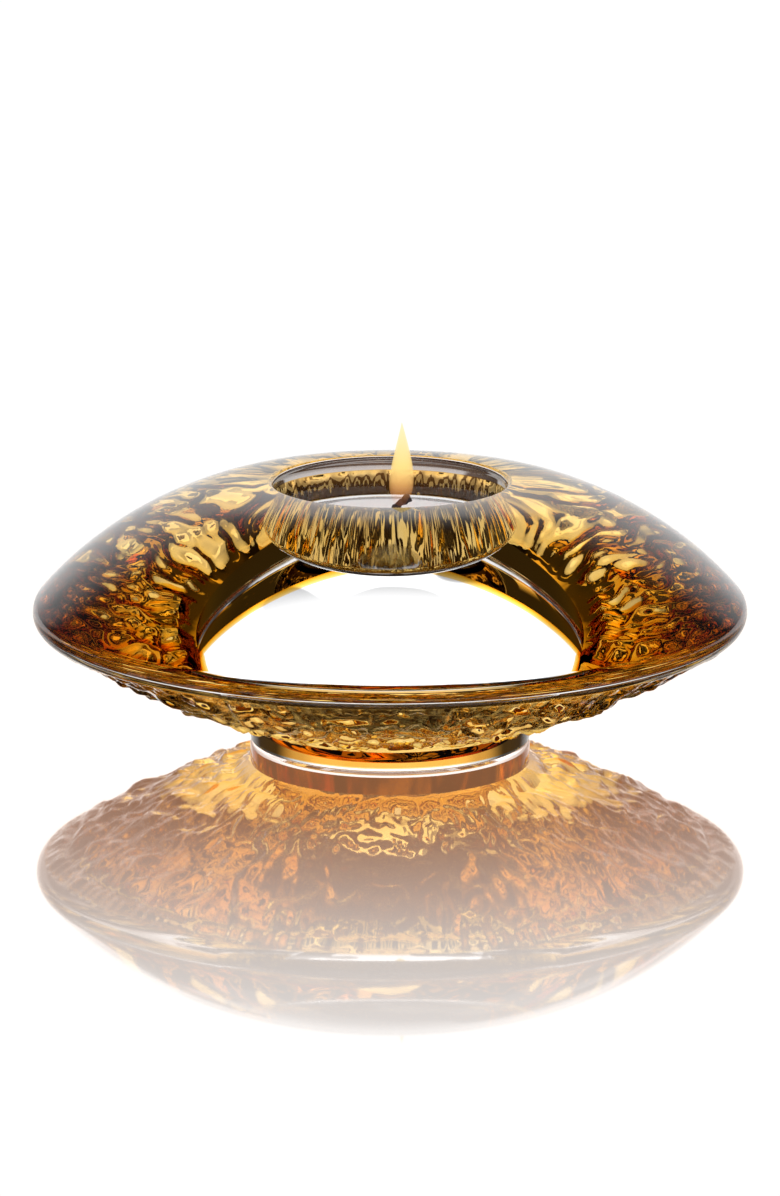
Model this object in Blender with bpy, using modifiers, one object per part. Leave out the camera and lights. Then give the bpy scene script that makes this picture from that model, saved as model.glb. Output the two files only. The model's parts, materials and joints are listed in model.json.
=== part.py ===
"""Tealight holder: a thick lens of clear glass on a short polished foot, with an amber layer on its textured
underside, a round well in its crown, and the tealight that stands in the well.

The frame is in metres with +Z up, and its origin is the middle of the foot's flat base.
"""

import math

import bpy

MM = 0.001
FIT_GAP = 0.3 * MM  # between two pieces that touch on the real object

# The glass lens: a dome and a spherical underside that meet in a rounded rim. Near the well the dome runs into
# the crown, a tighter arc that levels off at the lip of the well.
LENS_RADIUS = 60.0 * MM
LENS_HEIGHT = 44.2 * MM  # from the base of the foot to the top of the crown
RIM_HEIGHT = 22.5 * MM  # of the middle of the rounded rim
CROWN_RADIUS = 38.0 * MM
CROWN_SLOPE = math.radians(19.0)  # where the dome runs into the crown
RIM_FILLET = 3.0 * MM

# The foot, a low round disc that the lens stands on.
FOOT_RADIUS = 23.6 * MM
FOOT_HEIGHT = 3.4 * MM
FOOT_BEVEL = 0.5 * MM

# The amber layer and the furrows pressed into it.
LAYER_THICKNESS = 1.4 * MM
LAYER_MARGIN = 2.0 * MM  # from the outer edge of the layer to the edge of the lens
FURROW_COUNT = 42
FURROW_DEPTH = 0.6 * MM
FURROW_FADE = 2.5 * MM  # over which the furrows die out at both edges of the layer

# The tealight: a thin metal can of wax.
CAN_RADIUS = 19.0 * MM
CAN_HEIGHT = 16.0 * MM
CAN_WALL = 0.35 * MM
CAN_TAPER = 0.5 * MM
CAN_BEAD = 0.45 * MM
CAN_CORNER = 2.4 * MM
WAX_BELOW_BEAD = 0.6 * MM
WAX_EDGE = 0.5 * MM

# The well that holds the tealight, and the crown of the lens around it. Below, the well follows the can.
WELL_CLEARANCE = 0.5 * MM  # round the can's bead
CANDLE_SET_DOWN = 6.4 * MM  # from the top of the lens to the top of the can
LIP_FILLET = 1.0 * MM

# The wick and the metal tab that holds it upright.
WICK_RADIUS = 0.55 * MM
WICK_RISE = 4.0 * MM  # above the wax
WICK_LEAN = 3.4 * MM  # how far its tip stands to the side
WICK_BEND = 2.4  # 1 leans straight over, and more curls it over near its tip
TAB_RADIUS = 6.5 * MM
TAB_THICKNESS = 0.4 * MM
NECK_RADIUS = 1.4 * MM
NECK_HEIGHT = 3.0 * MM

# Facets round the axis. The layer has two for each furrow.
LENS_STEPS = 64
CAN_STEPS = 48
TAB_STEPS = 32


# ---- Sizes that follow from the ones above ----

rim_centre_r = LENS_RADIUS - RIM_FILLET
rim_centre_z = RIM_HEIGHT
# The underside is a sphere round a point on the axis. It starts at the top of the foot and touches the rim's arc.
rim_rise = rim_centre_z - FOOT_HEIGHT
spread = FOOT_RADIUS**2 - rim_centre_r**2 + RIM_FILLET**2 - rim_rise**2
leading = rim_rise**2 - RIM_FILLET**2
root = math.sqrt((spread * rim_rise) ** 2 - leading * (spread**2 - (2 * RIM_FILLET * FOOT_RADIUS) ** 2))
underside_drop = (root - spread * rim_rise) / (2 * leading)
underside_radius = math.hypot(FOOT_RADIUS, underside_drop)
underside_centre_z = FOOT_HEIGHT + underside_drop

layer_outer_r = LENS_RADIUS - LAYER_MARGIN
can_side_top_r = CAN_RADIUS - CAN_BEAD
can_side_base_r = can_side_top_r - CAN_TAPER
well_radius = CAN_RADIUS + WELL_CLEARANCE
well_base_r = can_side_base_r + FIT_GAP
well_corner = CAN_CORNER + FIT_GAP
crown_centre_r = well_radius + LIP_FILLET
crown_centre_z = LENS_HEIGHT - CROWN_RADIUS
# The dome's arc runs smoothly into those of the crown and the rim, which fixes its radius and its centre.
dome_start = math.pi / 2 - CROWN_SLOPE
rim_to_crown_r = crown_centre_r - rim_centre_r
rim_to_crown_z = crown_centre_z - rim_centre_z
narrower = CROWN_RADIUS - RIM_FILLET
along_normal = rim_to_crown_r * math.cos(dome_start) + rim_to_crown_z * math.sin(dome_start)
wider = (rim_to_crown_r**2 + rim_to_crown_z**2 - narrower**2) / (2 * (along_normal + narrower))
dome_radius = CROWN_RADIUS + wider
dome_centre_r = crown_centre_r - wider * math.cos(dome_start)
dome_centre_z = crown_centre_z - wider * math.sin(dome_start)

can_top_z = LENS_HEIGHT - CANDLE_SET_DOWN
can_base_z = can_top_z - CAN_HEIGHT
well_floor_z = can_base_z - FIT_GAP
wax_top_z = can_top_z - WAX_BELOW_BEAD
tab_base_z = can_base_z + CAN_WALL + FIT_GAP
wax_base_z = tab_base_z
hole_radius = WICK_RADIUS + FIT_GAP


# ---- Ways of making a piece ----

def arc(centre_r, centre_z, radius, first, last, count):
    """Points (r, z) along an arc, both ends included. Angles are in radians, from outwards towards up."""
    turns = [first + (last - first) * i / (count - 1) for i in range(count)]
    return [(centre_r + radius * math.cos(a), centre_z + radius * math.sin(a)) for a in turns]


def material(name, colour, roughness, metallic=0.0, transmission=0.0):
    made = bpy.data.materials.new(name)
    made.use_nodes = True
    shader = made.node_tree.nodes["Principled BSDF"]
    shader.inputs["Base Color"].default_value = (*colour, 1.0)
    shader.inputs["Roughness"].default_value = roughness
    shader.inputs["Metallic"].default_value = metallic
    shader.inputs["Transmission Weight"].default_value = transmission
    made.diffuse_color = (*colour, 1.0)
    return made


def add(name, data, finish, collection):
    piece = bpy.data.objects.new(name, data)
    piece.data.materials.append(finish)
    collection.objects.link(piece)
    return piece


def turned(name, outline, steps, finish, collection, ring=False):
    """A piece turned about Z. The outline runs down its outer side, and a ring's outline is closed."""
    mesh = bpy.data.meshes.new(name)
    count = len(outline)
    edges = [(i, (i + 1) % count) for i in range(count if ring else count - 1)]
    mesh.from_pydata([(r, 0.0, z) for r, z in outline], edges, [])
    piece = add(name, mesh, finish, collection)
    screw = piece.modifiers.new("Turned", "SCREW")
    screw.axis = "Z"
    screw.steps = steps
    screw.render_steps = steps
    screw.use_merge_vertices = True
    screw.merge_threshold = 0.00001
    return piece


def as_mesh(piece):
    """The piece with its modifiers applied."""
    graph = bpy.context.evaluated_depsgraph_get()
    made = bpy.data.meshes.new_from_object(piece.evaluated_get(graph))
    piece.modifiers.clear()
    piece.data = made
    return piece


# ---- The pieces ----

def glass_body(finish, collection):
    """The clear lens with its foot and well. Its underside is set back where the amber layer lies."""
    dome_end = math.atan2(rim_centre_z - dome_centre_z, rim_centre_r - dome_centre_r)
    rim_end = -math.atan2(underside_centre_z - rim_centre_z, rim_centre_r)
    seat_radius = underside_radius - LAYER_THICKNESS - FIT_GAP
    seat_edge = -math.acos((layer_outer_r + FIT_GAP) / underside_radius)
    foot_edge = -math.acos(FOOT_RADIUS / seat_radius)
    outline = [(0.0, well_floor_z)]
    outline += arc(well_base_r - well_corner, well_floor_z + well_corner, well_corner, -math.pi / 2, 0.0, 6)
    outline += arc(crown_centre_r, LENS_HEIGHT - LIP_FILLET, LIP_FILLET, math.pi, math.pi / 2, 6)
    outline += arc(crown_centre_r, crown_centre_z, CROWN_RADIUS, math.pi / 2, dome_start, 4)[1:]
    outline += arc(dome_centre_r, dome_centre_z, dome_radius, dome_start, dome_end, 8)[1:]
    outline += arc(rim_centre_r, rim_centre_z, RIM_FILLET, dome_end, rim_end, 6)[1:]
    outline += arc(0.0, underside_centre_z, underside_radius, rim_end, seat_edge, 2)[1:]
    outline += arc(0.0, underside_centre_z, seat_radius, seat_edge, foot_edge, 8)
    outline += [(FOOT_RADIUS, FOOT_BEVEL), (FOOT_RADIUS - FOOT_BEVEL, 0.0), (0.0, 0.0)]
    return turned("glass_body", outline, LENS_STEPS, finish, collection)


def furrow(turn, r):
    """How deep the pressed texture is at this place on the underside, in metres."""
    from_foot = (r - FOOT_RADIUS - FIT_GAP) / FURROW_FADE
    from_rim = (layer_outer_r - r) / FURROW_FADE
    fade = max(0.0, min(1.0, from_foot, from_rim))
    ribs = 0.5 - 0.5 * math.cos(FURROW_COUNT * turn)
    waves = 0.75 + 0.25 * math.sin(5.0 * turn + r / (2.1 * MM)) * math.cos(3.0 * turn - r / (3.3 * MM))
    return FURROW_DEPTH * fade * ribs * waves


def amber_underlay(finish, collection):
    """The amber layer: a thin spherical ring between the foot and the rim, furrowed on its lower face."""
    inner_radius = underside_radius - LAYER_THICKNESS
    foot_r = FOOT_RADIUS + FIT_GAP
    upper_start = -math.acos(foot_r / inner_radius)
    lower_end = -math.acos(foot_r / underside_radius)
    outer_edge = -math.acos(layer_outer_r / underside_radius)
    outline = arc(0.0, underside_centre_z, inner_radius, upper_start, outer_edge, 5)
    outline += arc(0.0, underside_centre_z, underside_radius, outer_edge, lower_end, 10)
    piece = as_mesh(turned("amber_underlay", outline, 2 * FURROW_COUNT, finish, collection, ring=True))
    for vertex in piece.data.vertices:
        x, y, z = vertex.co
        r = math.hypot(x, y)
        reach = math.hypot(r, z - underside_centre_z)
        if reach > underside_radius - LAYER_THICKNESS / 2:
            inwards = 1.0 - furrow(math.atan2(y, x), r) / reach
            z_above_centre = (z - underside_centre_z) * inwards
            vertex.co = (x * inwards, y * inwards, underside_centre_z + z_above_centre)
    return piece


def tealight_can(finish, collection):
    """The thin metal can: a slightly tapered cup with a rolled bead round its mouth."""
    bead_z = can_top_z - CAN_BEAD
    corner_r = can_side_base_r - CAN_CORNER
    inner_corner = CAN_CORNER - CAN_WALL
    outline = [(0.0, can_base_z + CAN_WALL)]
    outline += arc(corner_r, can_base_z + CAN_CORNER, inner_corner, -math.pi / 2, 0.0, 5)
    outline += arc(can_side_top_r, bead_z, CAN_BEAD, math.pi, -math.pi / 3, 7)
    outline += arc(corner_r, can_base_z + CAN_CORNER, CAN_CORNER, 0.0, -math.pi / 2, 6)
    outline += [(0.0, can_base_z)]
    return turned("tealight_can", outline, CAN_STEPS, finish, collection)


def wax(finish, collection):
    """The wax, cast round the wick and over the tab that holds it."""
    top_r = CAN_RADIUS - 2 * CAN_BEAD - FIT_GAP
    base_r = can_side_base_r - CAN_WALL - FIT_GAP
    tab_top_z = tab_base_z + TAB_THICKNESS + FIT_GAP
    neck_top_z = tab_base_z + NECK_HEIGHT + FIT_GAP
    outline = [(hole_radius, wax_top_z)]
    outline += arc(top_r - WAX_EDGE, wax_top_z - WAX_EDGE, WAX_EDGE, math.pi / 2, 0.0, 3)
    outline += arc(base_r - CAN_CORNER, wax_base_z + CAN_CORNER, CAN_CORNER, 0.0, -math.pi / 2, 4)
    outline += [(TAB_RADIUS + FIT_GAP, wax_base_z), (TAB_RADIUS + FIT_GAP, tab_top_z)]
    outline += [(NECK_RADIUS + FIT_GAP, tab_top_z), (NECK_RADIUS + FIT_GAP, neck_top_z)]
    outline += [(hole_radius, neck_top_z)]
    return turned("wax", outline, CAN_STEPS, finish, collection, ring=True)


def wick_sustainer(finish, collection):
    """The round tab under the wax, with the neck that grips the wick."""
    disc_top_z = tab_base_z + TAB_THICKNESS
    outline = [(hole_radius, tab_base_z + NECK_HEIGHT), (NECK_RADIUS, tab_base_z + NECK_HEIGHT)]
    outline += [(NECK_RADIUS, disc_top_z), (TAB_RADIUS, disc_top_z), (TAB_RADIUS, tab_base_z)]
    outline += [(hole_radius, tab_base_z)]
    return turned("wick_sustainer", outline, TAB_STEPS, finish, collection, ring=True)


def wick(finish, collection):
    """The cotton wick: straight up through the tab and the wax, then leaning over above it."""
    line = bpy.data.curves.new("wick", "CURVE")
    line.dimensions = "3D"
    line.bevel_depth = WICK_RADIUS
    line.bevel_resolution = 2
    line.use_fill_caps = True
    start_z = tab_base_z + FIT_GAP
    route = [(0.0, start_z), (0.0, (start_z + wax_top_z) / 2), (0.0, wax_top_z)]
    bends = 6
    for i in range(1, bends + 1):
        share = i / bends
        route.append((WICK_LEAN * share**WICK_BEND, wax_top_z + WICK_RISE * share))
    spline = line.splines.new("POLY")
    spline.points.add(len(route) - 1)
    for point, (x, z) in zip(spline.points, route):
        point.co = (x, 0.0, z, 1.0)
    return add("wick", line, finish, collection)


def build():
    for old in list(bpy.data.objects):
        bpy.data.objects.remove(old)
    holder = bpy.data.collections.new("tealight_holder")
    bpy.context.scene.collection.children.link(holder)
    clear = material("clear_glass", (0.96, 0.97, 0.96), 0.02, transmission=1.0)
    amber = material("amber_glass", (0.62, 0.30, 0.05), 0.05, transmission=0.9)
    tin = material("tealight_metal", (0.80, 0.80, 0.81), 0.30, metallic=1.0)
    paraffin = material("paraffin_wax", (0.93, 0.91, 0.93), 0.45)
    cotton = material("charred_cotton", (0.05, 0.03, 0.03), 0.90)
    steel = material("tinned_steel", (0.62, 0.62, 0.63), 0.35, metallic=1.0)
    glass_body(clear, holder)
    amber_underlay(amber, holder)
    tealight_can(tin, holder)
    wax(paraffin, holder)
    wick_sustainer(steel, holder)
    wick(cotton, holder)


build()
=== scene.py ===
import json
import math

import bpy
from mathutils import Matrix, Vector, noise

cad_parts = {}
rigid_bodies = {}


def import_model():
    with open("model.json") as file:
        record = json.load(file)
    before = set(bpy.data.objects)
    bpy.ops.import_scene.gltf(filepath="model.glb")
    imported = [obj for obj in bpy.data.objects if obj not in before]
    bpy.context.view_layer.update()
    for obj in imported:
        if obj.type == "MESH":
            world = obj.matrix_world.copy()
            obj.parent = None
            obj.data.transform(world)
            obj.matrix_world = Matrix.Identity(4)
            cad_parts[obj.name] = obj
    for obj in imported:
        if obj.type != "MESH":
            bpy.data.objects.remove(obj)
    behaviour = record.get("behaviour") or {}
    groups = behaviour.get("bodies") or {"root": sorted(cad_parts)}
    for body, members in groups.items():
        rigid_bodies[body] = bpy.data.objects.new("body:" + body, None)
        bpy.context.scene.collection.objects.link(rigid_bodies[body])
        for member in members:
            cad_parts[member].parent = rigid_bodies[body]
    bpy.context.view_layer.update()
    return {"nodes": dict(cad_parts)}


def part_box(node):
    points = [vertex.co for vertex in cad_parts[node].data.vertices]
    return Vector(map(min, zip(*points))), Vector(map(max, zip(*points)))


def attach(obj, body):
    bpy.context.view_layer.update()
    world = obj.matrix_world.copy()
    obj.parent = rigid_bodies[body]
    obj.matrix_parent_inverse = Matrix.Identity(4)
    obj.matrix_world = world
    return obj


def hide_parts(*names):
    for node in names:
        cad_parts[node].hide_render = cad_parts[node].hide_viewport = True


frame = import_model()
print("CAD model loaded:", ", ".join(sorted(frame["nodes"])))

mm = 0.001

# the pieces here are fitted to the heights and radii of the CAD model
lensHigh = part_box("glass_body")[1]
canLow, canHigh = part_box("tealight_can")
waxLow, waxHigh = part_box("wax")
wickLow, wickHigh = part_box("wick")


def deselectAll():
    if bpy.context.object and bpy.context.object.mode != "OBJECT":
        bpy.ops.object.mode_set(mode="OBJECT")
    bpy.ops.object.select_all(action="DESELECT")


def share(value, start, length):
    # 0 up to the start, 1 from the end of the length, and even in between
    return min(1.0, max(0.0, (value - start) / length))


def arcPoints(centreR, centreZ, radius, first, last, count):
    # points (r, z) along an arc, both ends included, angles in degrees from outwards towards up
    points = []
    for i in range(count):
        turn = math.radians(first + (last - first) * i / (count - 1))
        points.append((centreR + radius * math.cos(turn), centreZ + radius * math.sin(turn)))
    return points


def spinOutline(name, outline, segments, closed=False, wedges=8):
    # a circle primitive laid out along the outline, opened at the axis, spun into a wedge and repeated
    deselectAll()
    bpy.ops.mesh.primitive_circle_add(vertices=len(outline), radius=mm)
    piece = bpy.context.object
    piece.name = name
    piece.data.name = name
    for vertex, (r, z) in zip(piece.data.vertices, outline):
        vertex.co = (r, 0.0, z)
    if not closed:
        last = len(outline) - 1
        for edge in piece.data.edges:
            edge.select = set(edge.vertices) == {0, last}
        for vertex in piece.data.vertices:
            vertex.select = False
        bpy.ops.object.mode_set(mode="EDIT")
        bpy.ops.mesh.select_mode(type="EDGE")
        bpy.ops.mesh.delete(type="EDGE_FACE")
    else:
        bpy.ops.object.mode_set(mode="EDIT")
    bpy.ops.mesh.select_mode(type="VERT")
    bpy.ops.mesh.select_all(action="SELECT")
    wedge = 2 * math.pi / wedges
    rest = 2 * math.pi - wedge
    bpy.ops.mesh.spin(steps=segments // wedges, angle=wedge, center=(0, 0, 0), axis=(0, 0, 1))
    bpy.ops.mesh.select_all(action="SELECT")
    bpy.ops.mesh.spin(steps=wedges - 1, angle=rest, dupli=True, center=(0, 0, 0), axis=(0, 0, 1))
    bpy.ops.mesh.select_all(action="SELECT")
    bpy.ops.mesh.remove_doubles(threshold=0.000001)
    bpy.ops.mesh.normals_make_consistent(inside=False)
    bpy.ops.object.mode_set(mode="OBJECT")
    return piece


def smooth(piece, angle):
    deselectAll()
    piece.select_set(True)
    bpy.context.view_layer.objects.active = piece
    bpy.ops.object.shade_smooth_by_angle(angle=math.radians(angle))


def newMaterial(name):
    material = bpy.data.materials.new(name)
    material.use_nodes = True
    return material, material.node_tree, material.node_tree.nodes["Principled BSDF"]


def wear(piece, material):
    piece.data.materials.clear()
    piece.data.materials.append(material)


def surfaceNoise(tree, scale, detail=2.0):
    coords = tree.nodes.new("ShaderNodeTexCoord")
    texture = tree.nodes.new("ShaderNodeTexNoise")
    texture.inputs["Scale"].default_value = scale
    texture.inputs["Detail"].default_value = detail
    tree.links.new(coords.outputs["Object"], texture.inputs["Vector"])
    return texture.outputs["Fac"]


def coloursAlong(tree, source, stops):
    # a colour for each position from 0 to 1, the positions in rising order
    ramp = tree.nodes.new("ShaderNodeValToRGB")
    ramp.color_ramp.elements.remove(ramp.color_ramp.elements[1])
    for i, (position, colour) in enumerate(stops):
        stop = ramp.color_ramp.elements.new(position) if i else ramp.color_ramp.elements[0]
        stop.position = position
        stop.color = (*colour, 1.0)
    tree.links.new(source, ramp.inputs["Fac"])
    return ramp


def remap(tree, source, fromRange, toRange, easing="LINEAR"):
    step = tree.nodes.new("ShaderNodeMapRange")
    step.interpolation_type = easing
    step.inputs["From Min"].default_value = fromRange[0]
    step.inputs["From Max"].default_value = fromRange[1]
    step.inputs["To Min"].default_value = toRange[0]
    step.inputs["To Max"].default_value = toRange[1]
    tree.links.new(source, step.inputs["Value"])
    return step.outputs["Result"]


def maths(tree, operation, *values):
    node = tree.nodes.new("ShaderNodeMath")
    node.operation = operation
    for socket, value in zip(node.inputs, values):
        if isinstance(value, float):
            socket.default_value = value
        else:
            tree.links.new(value, socket)
    return node.outputs["Value"]


# the glass body, with the relief pressed into its underside
lens = {
    "segments": 880,
    "bumpRings": 54,
    "lineRings": 9,
    "edgeRings": 3,
    "crownRadius": 38.0 * mm,
    "crownSlope": 19.0,
    "crownPoints": 6,
    "domePoints": 13,
    "rimHeight": 22.5 * mm,
    "rimFillet": 3.0 * mm,
    "rimPoints": 9,
    "footRadius": 23.6 * mm,
    "footHeight": 3.4 * mm,
    "footCrease": 0.12 * mm,
    "footBevel": 0.5 * mm,
    "footPoints": 5,
    "wellRadius": 19.5 * mm,
    "wellFloor": canLow.z - 0.3 * mm,
    "wellBase": 18.35 * mm,
    "wellCorner": 2.7 * mm,
    "lipFillet": 1.0 * mm,
    "wellPoints": 8,
    "innerRing": 8.0 * mm,
    "reliefOuter": 58.6 * mm,
    "smoothAngle": 40,
}

relief = {
    "columns": 38,
    "columnSway": 0.84,
    "swaySize": 10.0 * mm,
    "columnShift": 7.3,
    "columnSpread": 12.9898,
    "columnStart": 4.1,
    "grooveWidth": 0.12,
    "grooveDepth": 0.42 * mm,
    "bumpLength": 8.5 * mm,
    "bumpDepth": 0.55 * mm,
    "waver": 1.2,
    "waverSize": 5.0 * mm,
    "dimpleSize": 4.6 * mm,
    "dimpleDepth": 1.25 * mm,
    "grainSize": 1.4 * mm,
    "grainDepth": 0.12 * mm,
    "lines": 200,
    "lineLength": 9.0 * mm,
    "lineDepth": 0.22 * mm,
    "rimLineDepth": 0.7 * mm,
    "lineStart": 55.0 * mm,
    "lineBlend": 1.2 * mm,
    "footFade": 3.2 * mm,
    "rimFade": 0.6 * mm,
    "clearOfFoot": 0.1 * mm,
    "sphereBand": 1.0 * mm,
}

# the underside is a sphere round a point on the axis, from the top of the foot to the rim's arc
rimR = lensHigh.x - lens["rimFillet"]
rimRise = lens["rimHeight"] - lens["footHeight"]
spread = lens["footRadius"] ** 2 - rimR ** 2 + lens["rimFillet"] ** 2 - rimRise ** 2
leading = rimRise ** 2 - lens["rimFillet"] ** 2
offFoot = spread ** 2 - (2 * lens["rimFillet"] * lens["footRadius"]) ** 2
root = math.sqrt((spread * rimRise) ** 2 - leading * offFoot)
undersideDrop = (root - spread * rimRise) / (2 * leading)
undersideRadius = math.hypot(lens["footRadius"], undersideDrop)
undersideZ = lens["footHeight"] + undersideDrop


def furrowDepth(turn, r):
    # columns of bumps with grooves between them, dimples across both, and a fine grain
    x, y = r * math.cos(turn), r * math.sin(turn)
    sway = noise.noise(Vector((x, y, 0.02)) / relief["swaySize"])
    phase = relief["columns"] * turn / (2 * math.pi) + relief["columnSway"] * sway
    column = math.floor(phase) % relief["columns"]
    across = phase - math.floor(phase)
    fromGroove = min(across, 1.0 - across) / relief["grooveWidth"]
    groove = math.exp(-fromGroove * fromGroove)
    shift = relief["columnShift"] * math.sin(relief["columnSpread"] * column + relief["columnStart"])
    waver = relief["waver"] * noise.noise(Vector((x, y, 0.05)) / relief["waverSize"])
    bump = 0.5 - 0.5 * math.cos(2 * math.pi * (r / relief["bumpLength"] + shift + waver))
    size = relief["dimpleSize"]
    dimple = noise.noise(Vector((x / size + sway, y / size - sway, 3.0)))
    size = relief["grainSize"]
    grain = noise.noise(Vector((x / size, y / size, 9.0)))
    pressed = relief["grooveDepth"] * groove + relief["bumpDepth"] * bump * (1.0 - groove)
    return pressed + relief["dimpleDepth"] * (0.5 + dimple) + relief["grainDepth"] * grain


def reliefDepth(turn, r):
    # how far the underside is pressed in at this turn and radius, in metres
    fadeIn = share(r, lens["footRadius"], relief["footFade"])
    fadeOut = share(lens["reliefOuter"], r, relief["rimFade"])
    fade = fadeIn * fadeIn * fadeOut
    if fade <= 0.0:
        return 0.0
    fine = relief["lines"] / (2 * math.pi)
    line = noise.noise(Vector((math.cos(turn) * fine, math.sin(turn) * fine, r / relief["lineLength"])))
    nearRim = share(r, relief["lineStart"], relief["lineBlend"])
    pressed = furrowDepth(turn, r) if nearRim < 1.0 else 0.0
    depth = relief["lineDepth"] + (relief["rimLineDepth"] - relief["lineDepth"]) * nearRim
    return fade * ((1.0 - nearRim) * pressed + depth * (0.5 + line))


def pressRelief(piece, offset=0.0):
    # moves the underside's vertices along their sphere's radius by the depth of the relief
    for vertex in piece.data.vertices:
        x, y, z = vertex.co
        r = math.hypot(x, y)
        reach = math.hypot(r, z - undersideZ)
        onSphere = abs(reach - undersideRadius) < relief["sphereBand"]
        if onSphere and r > lens["footRadius"] + relief["clearOfFoot"]:
            inwards = 1.0 - (reliefDepth(math.atan2(y, x), r) + offset) / reach
            vertex.co = (x * inwards, y * inwards, undersideZ + (z - undersideZ) * inwards)


def undersidePoints(fromR, toR, count):
    first = -math.degrees(math.acos(fromR / undersideRadius))
    last = -math.degrees(math.acos(toR / undersideRadius))
    return arcPoints(0.0, undersideZ, undersideRadius, first, last, count)


def lensOutline():
    # from the middle of the well's floor, over the dome and the rim, to the middle of the foot's base
    fillet, rimZ = lens["rimFillet"], lens["rimHeight"]
    crownR = lens["wellRadius"] + lens["lipFillet"]
    crownZ = lensHigh.z - lens["crownRadius"]
    # the dome's arc runs smoothly into those of the crown and the rim
    domeStart = 90.0 - lens["crownSlope"]
    slopeR, slopeZ = math.cos(math.radians(domeStart)), math.sin(math.radians(domeStart))
    acrossR, acrossZ = crownR - rimR, crownZ - rimZ
    narrower = lens["crownRadius"] - fillet
    wider = acrossR ** 2 + acrossZ ** 2 - narrower ** 2
    wider /= 2 * (acrossR * slopeR + acrossZ * slopeZ + narrower)
    domeR, domeZ = crownR - wider * slopeR, crownZ - wider * slopeZ
    rimStart = math.degrees(math.atan2(rimZ - domeZ, rimR - domeR))
    rimEnd = -math.degrees(math.atan2(undersideZ - rimZ, rimR))
    rimEdge = undersideRadius * math.cos(math.radians(rimEnd))
    wellFloor, corner, lip = lens["wellFloor"], lens["wellCorner"], lens["lipFillet"]
    count = lens["wellPoints"]
    outline = [(0.0, wellFloor), (lens["innerRing"], wellFloor)]
    outline += arcPoints(lens["wellBase"] - corner, wellFloor + corner, corner, -90, 0, count)
    outline += arcPoints(crownR, lensHigh.z - lip, lip, 180, 90, count)
    outline += arcPoints(crownR, crownZ, lens["crownRadius"], 90, domeStart, lens["crownPoints"])[1:]
    domeRadius = lens["crownRadius"] + wider
    outline += arcPoints(domeR, domeZ, domeRadius, domeStart, rimStart, lens["domePoints"])[1:]
    outline += arcPoints(rimR, rimZ, fillet, rimStart, rimEnd, lens["rimPoints"])[1:]
    outline += undersidePoints(rimEdge, lens["reliefOuter"], lens["edgeRings"])[1:]
    outline += undersidePoints(lens["reliefOuter"], relief["lineStart"], lens["lineRings"])[1:]
    outline += undersidePoints(relief["lineStart"], lens["footRadius"], lens["bumpRings"])[1:]
    outline += [(lens["footRadius"], lens["footHeight"] - lens["footCrease"])]  # keeps the corner crisp
    bevel = lens["footBevel"]
    outline += arcPoints(lens["footRadius"] - bevel, bevel, bevel, 0, -90, lens["footPoints"])
    return outline + [(lens["innerRing"], 0.0), (0.0, 0.0)]


def clearGlassFinish():
    material, tree, shader = newMaterial("clearGlass")
    streaks = surfaceNoise(tree, 30.0)  # faint streaks in the melt
    tint = coloursAlong(tree, streaks, ((0.4, (0.985, 0.99, 1.0)), (0.6, (1.0, 1.0, 1.0))))
    tree.links.new(tint.outputs["Color"], shader.inputs["Base Color"])
    shader.inputs["Roughness"].default_value = 0.0
    shader.inputs["IOR"].default_value = 1.52
    shader.inputs["Transmission Weight"].default_value = 1.0
    return material


glassBody = spinOutline("glassBody", lensOutline(), lens["segments"])
pressRelief(glassBody)
smooth(glassBody, lens["smoothAngle"])
wear(glassBody, clearGlassFinish())
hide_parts("glass_body")
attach(glassBody, "holder")
print("glass body:", len(glassBody.data.polygons), "faces")

# the amber layer, a thin shell just inside the relief and down the side of the foot
layer = {
    "segments": 440,
    "rings": 60,
    "under": 0.10 * mm,
    "inner": lens["footRadius"] + 0.2 * mm,
    "outer": 58.6 * mm,
    "thickness": 0.50 * mm,
    "thickest": 0.75 * mm,
    "thinnest": 0.30 * mm,
    "thickFrom": 46.0 * mm,
    "thinFrom": 55.0 * mm,
    "change": 2.5 * mm,
    "collar": 0.15 * mm,
    "collarBase": 0.6 * mm,
    "smoothAngle": 40,
}


def layerThickness(r):
    thicker = share(r, layer["thickFrom"], layer["change"])
    thickness = layer["thickness"] + (layer["thickest"] - layer["thickness"]) * thicker
    return thickness + (layer["thinnest"] - thickness) * share(r, layer["thinFrom"], layer["change"])


def layerOutline():
    # out along the upper face, back along the lower one, and down the side of the foot
    wall = lens["footRadius"] - layer["under"]
    upper = undersidePoints(wall, layer["outer"], layer["rings"])
    outline = [(wall - layer["collar"], layer["collarBase"])]
    outline += [(wall - layer["collar"], upper[0][1] + layer["thickness"])]
    outline += [(r, z + layerThickness(r)) for r, z in upper[1:]]
    outline += undersidePoints(layer["outer"], layer["inner"], layer["rings"])
    return outline + [(wall, lens["footHeight"]), (wall, layer["collarBase"])]


def amberGlassFinish():
    material, tree, shader = newMaterial("amberGlass")
    melt = surfaceNoise(tree, 95.0)  # the amber is a little paler and deeper from place to place
    tint = coloursAlong(tree, melt, ((0.3, (0.98, 0.67, 0.30)), (0.7, (0.98, 0.76, 0.42))))
    tree.links.new(tint.outputs["Color"], shader.inputs["Base Color"])
    shader.inputs["Roughness"].default_value = 0.0
    shader.inputs["IOR"].default_value = 1.0  # it lies inside the clear glass, and only colours the light
    shader.inputs["Transmission Weight"].default_value = 1.0
    absorb = tree.nodes.new("ShaderNodeVolumeAbsorption")
    absorb.inputs["Color"].default_value = (0.956, 0.80, 0.0, 1.0)
    absorb.inputs["Density"].default_value = 1600.0
    tree.links.new(absorb.outputs["Volume"], tree.nodes["Material Output"].inputs["Volume"])
    return material


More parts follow.
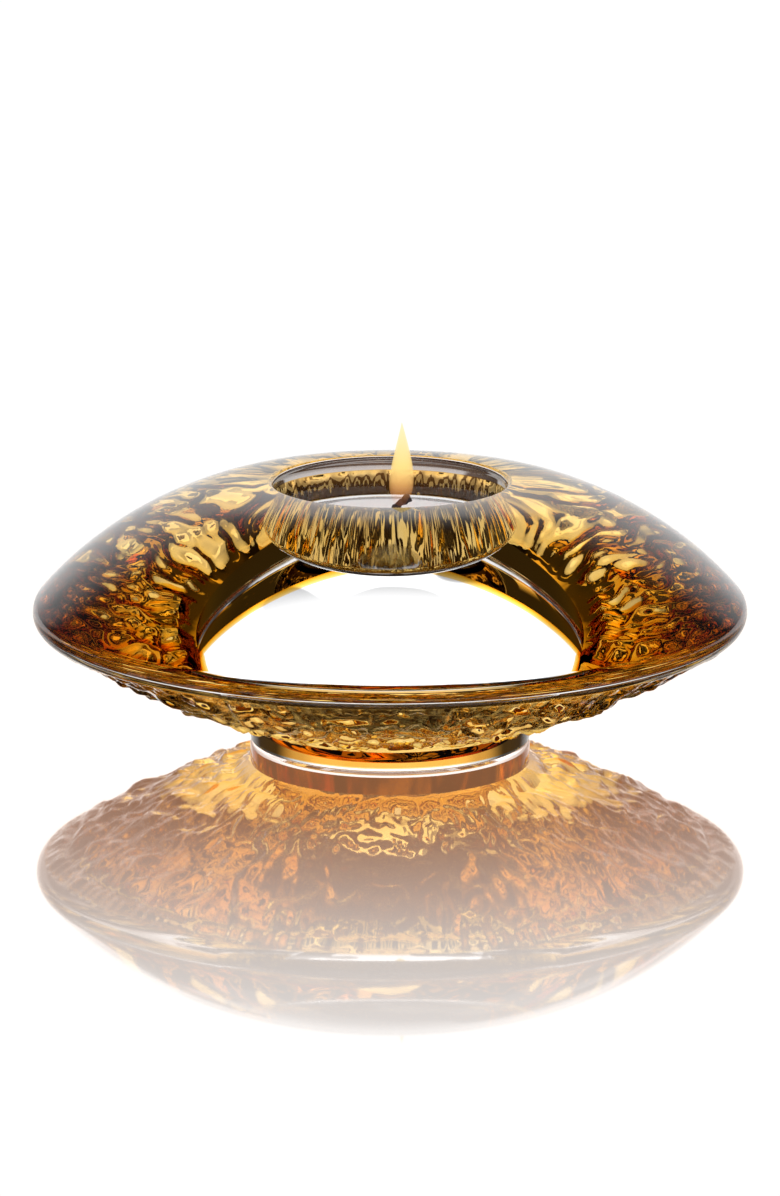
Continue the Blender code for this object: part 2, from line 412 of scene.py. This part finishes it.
amberLayer = spinOutline("amberLayer", layerOutline(), layer["segments"], closed=True)
pressRelief(amberLayer, layer["under"])
smooth(amberLayer, layer["smoothAngle"])
wear(amberLayer, amberGlassFinish())
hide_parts("amber_underlay")
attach(amberLayer, "holder")
print("amber layer:", len(amberLayer.data.polygons), "faces")

# the metal can of the tealight, with a finely fluted side
can = {
    "flutes": 80,
    "fluteDepth": 0.16 * mm,
    "fluteTop": 1.6 * mm,
    "fluteInner": 3.0 * mm,
    "fluteFade": 1.2 * mm,
    "wall": 0.3 * mm,
    "bead": 0.45 * mm,
    "beadPoints": 12,
    "corner": 2.4 * mm,
    "cornerPoints": 6,
    "taper": 0.5 * mm,
    "sideRings": 6,
    "innerRing": 6.0 * mm,
    "smoothAngle": 50,
}


def canOutline():
    bead, corner, wall, inner = can["bead"], can["corner"], can["wall"], can["innerRing"]
    sideTop = canHigh.x - bead
    cornerR = sideTop - can["taper"] - corner
    cornerZ = canLow.z + corner
    count = can["cornerPoints"]
    outline = [(0.0, canLow.z + wall), (inner, canLow.z + wall)]
    outline += arcPoints(cornerR, cornerZ, corner - wall, -90, 0, count)
    outline += arcPoints(sideTop, canHigh.z - bead, bead, 180, -60, can["beadPoints"])
    for i in range(1, can["sideRings"]):
        down = i / can["sideRings"]
        height = canHigh.z - bead + (cornerZ - canHigh.z + bead) * down
        outline.append((sideTop - can["taper"] * down, height))
    outline += arcPoints(cornerR, cornerZ, corner, 0, -90, count)
    return outline + [(inner, canLow.z), (0.0, canLow.z)]


def pressFlutes(piece):
    for vertex in piece.data.vertices:
        x, y, z = vertex.co
        r = math.hypot(x, y)
        clearOfBead = share(canHigh.z - can["fluteTop"], z, can["fluteFade"])
        onSide = share(r, canHigh.x - can["fluteInner"], can["fluteFade"])
        wave = 0.5 - 0.5 * math.cos(can["flutes"] * math.atan2(y, x))
        scale = 1.0 - can["fluteDepth"] * wave * clearOfBead * onSide / max(r, mm)
        vertex.co = (x * scale, y * scale, z)


def brightTinFinish():
    material, tree, shader = newMaterial("brightTin")
    shader.inputs["Base Color"].default_value = (0.63, 0.63, 0.64, 1.0)
    shader.inputs["Metallic"].default_value = 1.0
    scratches = surfaceNoise(tree, 900.0, 3.0)
    tree.links.new(remap(tree, scratches, (0.0, 1.0), (0.16, 0.34)), shader.inputs["Roughness"])
    return material


tealightCan = spinOutline("tealightCan", canOutline(), can["flutes"] * 4)
pressFlutes(tealightCan)
smooth(tealightCan, can["smoothAngle"])
wear(tealightCan, brightTinFinish())
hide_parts("tealight_can")
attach(tealightCan, "tealight_can")
print("tealight can:", len(tealightCan.data.polygons), "faces")

# the wax, with a hole for the wick, a low ring where it clings to it, and a slight dish
candle = {
    "segments": 128,
    "rings": 15,
    "edge": 0.5 * mm,
    "edgePoints": 5,
    "taper": 0.55 * mm,
    "corner": 1.2 * mm,
    "hole": 0.6 * mm,
    "dish": 0.35 * mm,
    "dishRadius": 9.0 * mm,
    "meniscus": 0.5 * mm,
    "meniscusWidth": 0.7 * mm,
    "ripple": 0.12 * mm,
    "rippleSize": 5.0 * mm,
    "rippleBelowTop": 0.8 * mm,
    "smoothAngle": 40,
}


def waxOutline():
    hole, edge, corner, count = candle["hole"], candle["edge"], candle["corner"], candle["edgePoints"]
    outer = waxHigh.x
    outline = [(hole, waxHigh.z + candle["meniscus"] - candle["dish"])]
    for i in range(1, candle["rings"]):
        r = hole + (outer - edge - hole) * i / candle["rings"]
        rise = candle["meniscus"] * math.exp(-(r - hole) / candle["meniscusWidth"])
        dish = candle["dish"] * math.exp(-((r / candle["dishRadius"]) ** 2))
        outline.append((r, waxHigh.z + rise - dish))
    outline += arcPoints(outer - edge, waxHigh.z - edge, edge, 90, 0, count)
    outline += arcPoints(outer - candle["taper"] - corner, waxLow.z + corner, corner, 0, -90, count)
    return outline + [(hole, waxLow.z)]


def paraffinFinish():
    material, tree, shader = newMaterial("paraffin")
    shader.inputs["Base Color"].default_value = (0.84, 0.79, 0.79, 1.0)
    shader.inputs["Subsurface Weight"].default_value = 0.35
    shader.inputs["Subsurface Radius"].default_value = (1.0, 0.8, 0.8)
    shader.inputs["Subsurface Scale"].default_value = 0.003
    shader.inputs["Roughness"].default_value = 0.42
    bump = tree.nodes.new("ShaderNodeBump")
    bump.inputs["Strength"].default_value = 0.12
    bump.inputs["Distance"].default_value = 0.0004
    tree.links.new(surfaceNoise(tree, 380.0, 5.0), bump.inputs["Height"])
    tree.links.new(bump.outputs["Normal"], shader.inputs["Normal"])
    return material


waxBlock = spinOutline("waxBlock", waxOutline(), candle["segments"], closed=True)
for vertex in waxBlock.data.vertices:
    x, y, z = vertex.co
    if z > waxHigh.z - candle["rippleBelowTop"]:
        vertex.co.z = z + candle["ripple"] * noise.noise(Vector((x, y, 0.0)) / candle["rippleSize"])
smooth(waxBlock, candle["smoothAngle"])
wear(waxBlock, paraffinFinish())
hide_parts("wax")
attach(waxBlock, "candle")
print("wax:", len(waxBlock.data.polygons), "faces")

# the wick, braided, with a charred knob at its tip
cotton = {
    "radius": 0.55 * mm,
    "segments": 20,
    "rings": 44,
    "inWax": 0.35,
    "lean": 3.4 * mm,
    "rise": wickHigh.z - waxHigh.z - 0.3 * mm,
    "bendPower": 2.4,
    "braids": 3,
    "braidTurns": 9.0,
    "braidDepth": 0.09 * mm,
    "crumble": 0.16 * mm,
    "crumbleSize": 0.45 * mm,
    "crumbleStretch": 9.0 * mm,
    "knob": 0.35,
    "knobAt": 0.93,
    "knobLength": 0.09,
    "smoothAngle": 60,
}


def wickLine(above):
    # the middle of the wick above the wax, from 0 at the wax to 1 at its tip
    lean = cotton["lean"] * above ** cotton["bendPower"]
    return Vector((lean, 0.0, waxHigh.z + cotton["rise"] * above))


def growWick():
    # a cylinder cut into rings, which are then laid along the wick's line
    deselectAll()
    bpy.ops.mesh.primitive_cylinder_add(vertices=cotton["segments"], radius=cotton["radius"], depth=1.0)
    piece = bpy.context.object
    piece.name = "wickBraid"
    bpy.ops.object.mode_set(mode="EDIT")
    for i in range(1, cotton["rings"]):
        bpy.ops.mesh.select_all(action="SELECT")
        bpy.ops.mesh.bisect(plane_co=(0, 0, -0.5 + i / cotton["rings"]), plane_no=(0, 0, 1))
    bpy.ops.object.mode_set(mode="OBJECT")
    for vertex in piece.data.vertices:
        x, y, along = vertex.co.x, vertex.co.y, vertex.co.z + 0.5
        above = max(0.0, (along - cotton["inWax"]) / (1.0 - cotton["inWax"]))
        twist = cotton["braids"] * math.atan2(y, x) + 2 * math.pi * cotton["braidTurns"] * along
        place = Vector((x, y, along * cotton["crumbleStretch"])) / cotton["crumbleSize"]
        ash = cotton["crumble"] * above * noise.noise(place)
        knob = 1.0 + cotton["knob"] * math.exp(-(((above - cotton["knobAt"]) / cotton["knobLength"]) ** 2))
        grow = (1.0 + (cotton["braidDepth"] * math.cos(twist) + ash) / cotton["radius"]) * knob
        middle = Vector((0.0, 0.0, wickLow.z + (waxHigh.z - wickLow.z) * along / cotton["inWax"]))
        lean = 0.0
        if above > 0.0:
            middle = wickLine(above)
            ahead = wickLine(min(1.0, above + 0.01)) - wickLine(above - 0.01)
            lean = math.atan2(ahead.x, ahead.z)
        side = Vector((math.cos(lean), 0.0, -math.sin(lean)))
        vertex.co = middle + side * (x * grow) + Vector((0.0, y * grow, 0.0))
    return piece


def charredCottonFinish():
    material, tree, shader = newMaterial("charredCotton")
    ash = surfaceNoise(tree, 2600.0)
    char = coloursAlong(tree, ash, ((0.35, (0.008, 0.005, 0.006)), (0.8, (0.09, 0.05, 0.045))))
    tree.links.new(char.outputs["Color"], shader.inputs["Base Color"])
    shader.inputs["Roughness"].default_value = 0.85
    return material


wickBraid = growWick()
smooth(wickBraid, cotton["smoothAngle"])
wear(wickBraid, charredCottonFinish())
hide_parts("wick")
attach(wickBraid, "candle")
print("wick:", len(wickBraid.data.polygons), "faces")


def tinnedTabFinish():
    # for the tab under the wax, which keeps its CAD shape
    material, tree, shader = newMaterial("tinnedTab")
    shader.inputs["Base Color"].default_value = (0.62, 0.62, 0.63, 1.0)
    shader.inputs["Metallic"].default_value = 1.0
    stains = surfaceNoise(tree, 500.0)
    tree.links.new(remap(tree, stains, (0.0, 1.0), (0.25, 0.5)), shader.inputs["Roughness"])
    return material


wear(frame["nodes"]["wick_sustainer"], tinnedTabFinish())

# the flame, clear at its base and solid towards its tip
flame = {
    "middle": 1.7 * mm,
    "base": waxHigh.z + 2.6 * mm,
    "height": 14.4 * mm,
    "radius": 2.25 * mm,
    "belly": 0.62,
    "fullness": 0.9,
    "narrowing": 0.28,
    "drift": 0.35 * mm,
    "driftBend": 2.2,
    "segments": 40,
    "rings": 40,
    "smoothAngle": 80,
}


def growFlame():
    deselectAll()
    bpy.ops.mesh.primitive_uv_sphere_add(segments=flame["segments"], ring_count=flame["rings"], radius=1.0)
    piece = bpy.context.object
    piece.name = "flame"
    for vertex in piece.data.vertices:
        x, y, z = vertex.co
        up = (z + 1.0) / 2.0
        middle = flame["middle"] + flame["drift"] * math.sin(flame["driftBend"] * up)
        height = flame["base"] + flame["height"] * up
        if 0.0 < up < 1.0:
            width = flame["radius"] * math.sin(math.pi * up ** flame["belly"]) ** flame["fullness"]
            width *= 1.0 - flame["narrowing"] * up
            off = max(math.hypot(x, y), 0.000001)
            vertex.co = (middle + width * x / off, width * y / off, height)
        else:
            vertex.co = (middle, 0.0, height)
    return piece


def fireFinish():
    material, tree, shader = newMaterial("fire")
    coords = tree.nodes.new("ShaderNodeTexCoord")
    split = tree.nodes.new("ShaderNodeSeparateXYZ")
    tree.links.new(coords.outputs["Object"], split.inputs["Vector"])
    wholeFlame = (flame["base"], flame["base"] + flame["height"])
    height = remap(tree, split.outputs["Z"], wholeFlame, (0.0, 1.0))
    colours = ((0.0, (0.9, 0.22, 0.05)), (0.48, (1.0, 0.72, 0.24)), (1.0, (1.0, 0.86, 0.52)))
    glow = tree.nodes.new("ShaderNodeEmission")
    glow.inputs["Strength"].default_value = 1.1
    tree.links.new(coloursAlong(tree, height, colours).outputs["Color"], glow.inputs["Color"])
    edge = tree.nodes.new("ShaderNodeLayerWeight")
    edge.inputs["Blend"].default_value = 0.35
    facing = maths(tree, "SUBTRACT", 1.0, edge.outputs["Facing"])
    body = remap(tree, height, (0.10, 0.52), (0.1, 1.0))
    clear = tree.nodes.new("ShaderNodeBsdfTransparent")
    mixer = tree.nodes.new("ShaderNodeMixShader")
    tree.links.new(maths(tree, "MULTIPLY", facing, body), mixer.inputs["Fac"])
    tree.links.new(clear.outputs["BSDF"], mixer.inputs[1])
    tree.links.new(glow.outputs["Emission"], mixer.inputs[2])
    tree.links.new(mixer.outputs["Shader"], tree.nodes["Material Output"].inputs["Surface"])
    tree.nodes.remove(shader)
    return material


flameBody = growFlame()
smooth(flameBody, flame["smoothAngle"])
wear(flameBody, fireFinish())
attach(flameBody, "candle")
print("flame:", len(flameBody.data.polygons), "faces")

# the studio: how bright it is at each angle from straight behind the object, as a share of the brightest
studio = {
    "brightest": 1.4,
    "tilt": 8.0,
    "steps": ((0.0, 1.0), (20.0, 0.95), (30.0, 0.6), (44.0, 0.05), (90.0, 0.025), (180.0, 0.02)),
    "top": (0.40, 0.75),
    "topLevel": 0.03,
    "veil": 0.72,
    "panels": 1.15,
    "panelsScale": 6.0,
    "panelsEdge": (0.51, 0.57),
    "panelsLow": (0.36, 0.48),
    "panelsHigh": (0.65, 0.77),
    "panelsAbove": 0.4,
}


def shapedLight(tree, direction):
    # bright behind the object, dark at the sides and overhead
    tilt = math.radians(studio["tilt"])
    behind = tree.nodes.new("ShaderNodeVectorMath")
    behind.operation = "DOT_PRODUCT"
    behind.inputs[1].default_value = (0.0, math.cos(tilt), math.sin(tilt))
    tree.links.new(direction, behind.inputs[0])
    angle = maths(tree, "DIVIDE", maths(tree, "ARCCOSINE", behind.outputs["Value"]), math.pi)
    stops = [(degrees / 180.0, (level, level, level)) for degrees, level in studio["steps"]]
    ramp = coloursAlong(tree, angle, stops)
    ramp.color_ramp.interpolation = "EASE"
    split = tree.nodes.new("ShaderNodeSeparateXYZ")
    tree.links.new(direction, split.inputs["Vector"])
    overhead = remap(tree, split.outputs["Z"], studio["top"], (1.0, studio["topLevel"]), "SMOOTHSTEP")
    both = maths(tree, "MULTIPLY", ramp.outputs["Color"], overhead)
    return maths(tree, "MULTIPLY", both, studio["brightest"]), split.outputs["Z"]


def softPanels(tree, direction, up):
    # light panels above the object, with dark gaps between them
    patches = tree.nodes.new("ShaderNodeTexNoise")
    patches.inputs["Scale"].default_value = studio["panelsScale"]
    patches.inputs["Detail"].default_value = 0.0
    tree.links.new(direction, patches.inputs["Vector"])
    shape = remap(tree, patches.outputs["Fac"], studio["panelsEdge"], (0.0, studio["panels"]), "SMOOTHSTEP")
    low = remap(tree, up, studio["panelsLow"], (0.0, 1.0), "SMOOTHSTEP")
    high = remap(tree, up, studio["panelsHigh"], (1.0, studio["panelsAbove"]), "SMOOTHSTEP")
    return maths(tree, "MULTIPLY", maths(tree, "MULTIPLY", shape, low), high)


def lightStudio():
    world = bpy.data.worlds.new("studio")
    bpy.context.scene.world = world
    world.use_nodes = True
    tree = world.node_tree
    tree.nodes.clear()
    direction = tree.nodes.new("ShaderNodeTexCoord").outputs["Generated"]
    path = tree.nodes.new("ShaderNodeLightPath")
    bounces, polished = path.outputs["Ray Depth"], path.outputs["Is Singular Ray"]
    firstBounce = remap(tree, bounces, (2.0, 3.0), (1.0, 0.0), "SMOOTHSTEP")
    laterBounce = remap(tree, bounces, (2.0, 3.0), (0.0, 1.0), "SMOOTHSTEP")
    light, up = shapedLight(tree, direction)
    # the panels don't veil the dome's outer face, and the light behind it veils it less
    panels = maths(tree, "MULTIPLY", softPanels(tree, direction, up), laterBounce)
    offDome = maths(tree, "MULTIPLY", firstBounce, polished)
    veil = remap(tree, offDome, (0.0, 1.0), (1.0, studio["veil"]), "SMOOTHSTEP")
    lit = tree.nodes.new("ShaderNodeBackground")
    strength = maths(tree, "MULTIPLY", maths(tree, "ADD", light, panels), veil)
    tree.links.new(strength, lit.inputs["Strength"])
    # the floor and brushed metal reflect a plain white studio
    satin = maths(tree, "SUBTRACT", path.outputs["Is Glossy Ray"], polished)
    offSatin = maths(tree, "MULTIPLY", firstBounce, satin)
    plain = tree.nodes.new("ShaderNodeBackground")
    whiter = remap(tree, offSatin, (0.0, 1.0), (1.0, studio["brightest"]), "SMOOTHSTEP")
    tree.links.new(whiter, plain.inputs["Strength"])
    for background in (lit, plain):
        background.inputs["Color"].default_value = (1.0, 1.0, 1.0, 1.0)
    choose = tree.nodes.new("ShaderNodeMixShader")
    tree.links.new(maths(tree, "MAXIMUM", path.outputs["Is Camera Ray"], offSatin), choose.inputs["Fac"])
    tree.links.new(lit.outputs["Background"], choose.inputs[1])
    tree.links.new(plain.outputs["Background"], choose.inputs[2])
    worldOut = tree.nodes.new("ShaderNodeOutputWorld")
    tree.links.new(choose.outputs["Shader"], worldOut.inputs["Surface"])


overheadLamp = {
    "size": 0.35,
    "height": 0.9,
    "back": -0.25,
    "power": 9.0,
}


def hangLamp():
    # it lights the wax, and doesn't show in the glass
    back, height = overheadLamp["back"], overheadLamp["height"]
    deselectAll()
    bpy.ops.object.light_add(type="AREA", location=(0.0, back, height))
    lamp = bpy.context.object
    lamp.name = "overheadLamp"
    lamp.rotation_euler = (math.atan2(back, height), 0.0, 0.0)
    lamp.data.size = overheadLamp["size"]
    lamp.data.energy = overheadLamp["power"]
    lamp.visible_glossy = False
    lamp.visible_transmission = False


lightStudio()
hangLamp()
print("studio lit")

# the floor, a pale mirror that fades away from the object
table = {
    "size": 8.0,
    "below": 0.2 * mm,
    "roughness": 0.03,
    "glowFront": 0.04,
    "glowBehind": (0.055, 0.11),
    "fade": (0.04, 0.20),
    "mirror": (0.76, 0.1),
    # painted light: the floor's glow colour, warm amber near the object and white further out
    "paintedAmberGlow": ((0.0, (1.0, 0.42, 0.18)), (0.5, (1.0, 0.90, 0.84)), (1.0, (1.0, 1.0, 1.0))),
}


def paleFloorFinish():
    material, tree, shader = newMaterial("paleFloor")
    tree.nodes.remove(shader)
    coords = tree.nodes.new("ShaderNodeTexCoord")
    split = tree.nodes.new("ShaderNodeSeparateXYZ")
    tree.links.new(coords.outputs["Object"], split.inputs["Vector"])
    away = tree.nodes.new("ShaderNodeVectorMath")
    away.operation = "LENGTH"
    tree.links.new(coords.outputs["Object"], away.inputs[0])
    # through the glass, only the floor behind the object is bright
    behind = remap(tree, split.outputs["Y"], table["glowBehind"], (table["glowFront"], 1.0), "SMOOTHSTEP")
    path = tree.nodes.new("ShaderNodeLightPath")
    glow = tree.nodes.new("ShaderNodeEmission")
    tree.links.new(maths(tree, "MAXIMUM", behind, path.outputs["Is Camera Ray"]), glow.inputs["Strength"])
    # near the object the floor's glow is painted warm: a painted pool of the light that comes through the
    # amber
    outwards = remap(tree, away.outputs["Value"], table["fade"], (0.0, 1.0))
    tree.links.new(coloursAlong(tree, outwards, table["paintedAmberGlow"]).outputs["Color"], glow.inputs["Color"])
    mirror = tree.nodes.new("ShaderNodeBsdfGlossy")
    mirror.inputs["Roughness"].default_value = table["roughness"]
    mirror.inputs["Color"].default_value = (1.0, 0.98, 0.96, 1.0)
    mixer = tree.nodes.new("ShaderNodeMixShader")
    tree.links.new(remap(tree, away.outputs["Value"], table["fade"], table["mirror"]), mixer.inputs["Fac"])
    tree.links.new(glow.outputs["Emission"], mixer.inputs[1])
    tree.links.new(mirror.outputs["BSDF"], mixer.inputs[2])
    tree.links.new(mixer.outputs["Shader"], tree.nodes["Material Output"].inputs["Surface"])
    return material


deselectAll()
bpy.ops.mesh.primitive_plane_add(size=table["size"], location=(0, 0, -table["below"]))
floor = bpy.context.object
floor.name = "floor"
wear(floor, paleFloorFinish())
print("floor laid")

view = {
    "distance": 1.0,
    "elevation": 15.0,
    "down": 13.663,
    "lens": 178.0,
    "sensor": 36.0,
}


def placeCamera():
    rise = math.radians(view["elevation"])
    deselectAll()
    bpy.ops.object.camera_add(
        location=(0.0, -view["distance"] * math.cos(rise), view["distance"] * math.sin(rise)),
        rotation=(math.radians(90.0 - view["down"]), 0.0, 0.0),
    )
    camera = bpy.context.object
    camera.data.lens = view["lens"]
    camera.data.sensor_width = view["sensor"]
    bpy.context.scene.camera = camera
    bpy.context.scene.view_settings.view_transform = "Standard"


placeCamera()
print("camera placed")
